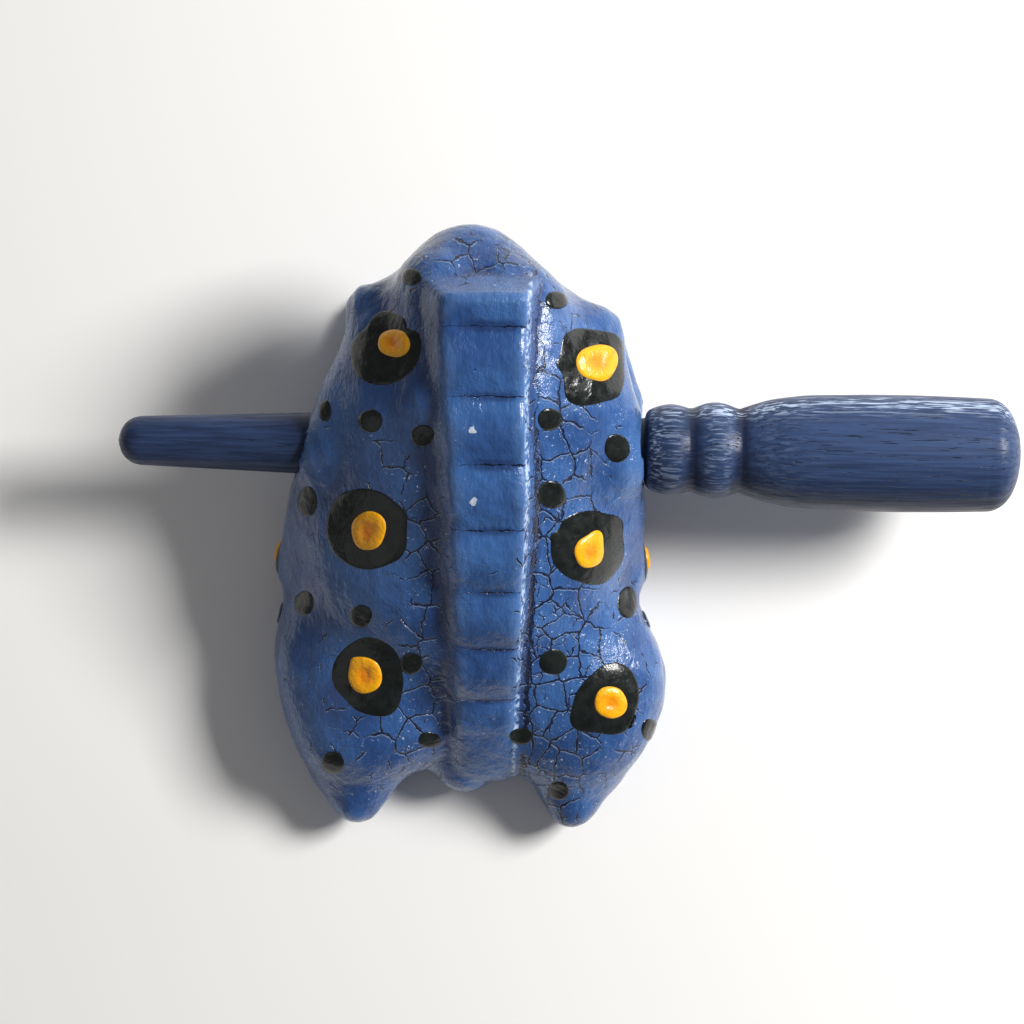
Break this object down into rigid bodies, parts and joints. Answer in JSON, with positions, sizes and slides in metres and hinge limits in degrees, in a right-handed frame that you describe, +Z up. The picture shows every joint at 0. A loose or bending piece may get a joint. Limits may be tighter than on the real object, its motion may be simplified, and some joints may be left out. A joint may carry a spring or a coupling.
{
  "type": "wooden frog rasp with striker stick",
  "caption": "Small carved wooden frog rasp with a notched back, a hollow body open at the mouth and a turned striker stick stored in a cross hole.",
  "frame": {"origin": "on the flat belly, below the ridge, about midway between snout and heels", "axes": "+Y towards the snout, +Z up through the ridge, +X towards the stick's handle"},
  "size_m": [0.117, 0.0792, 0.0379],
  "materials": {
    "frog_paint": "thick glossy blue paint with crackle over wood",
    "stick_paint": "thin satin navy stain with open grain",
    "black_paint": "raised glossy black paint",
    "orange_paint": "raised glossy orange paint"
  },
  "bodies": {
    "frog": {"body": "frog_paint"},
    "stick": {"stick": "stick_paint"}
  },
  "joints": [
    {"name": "stick_slide", "type": "slide", "parent": "frog", "child": "stick", "axis": [1, 0, 0], "range_m": [0, 0.078]}
  ]
}
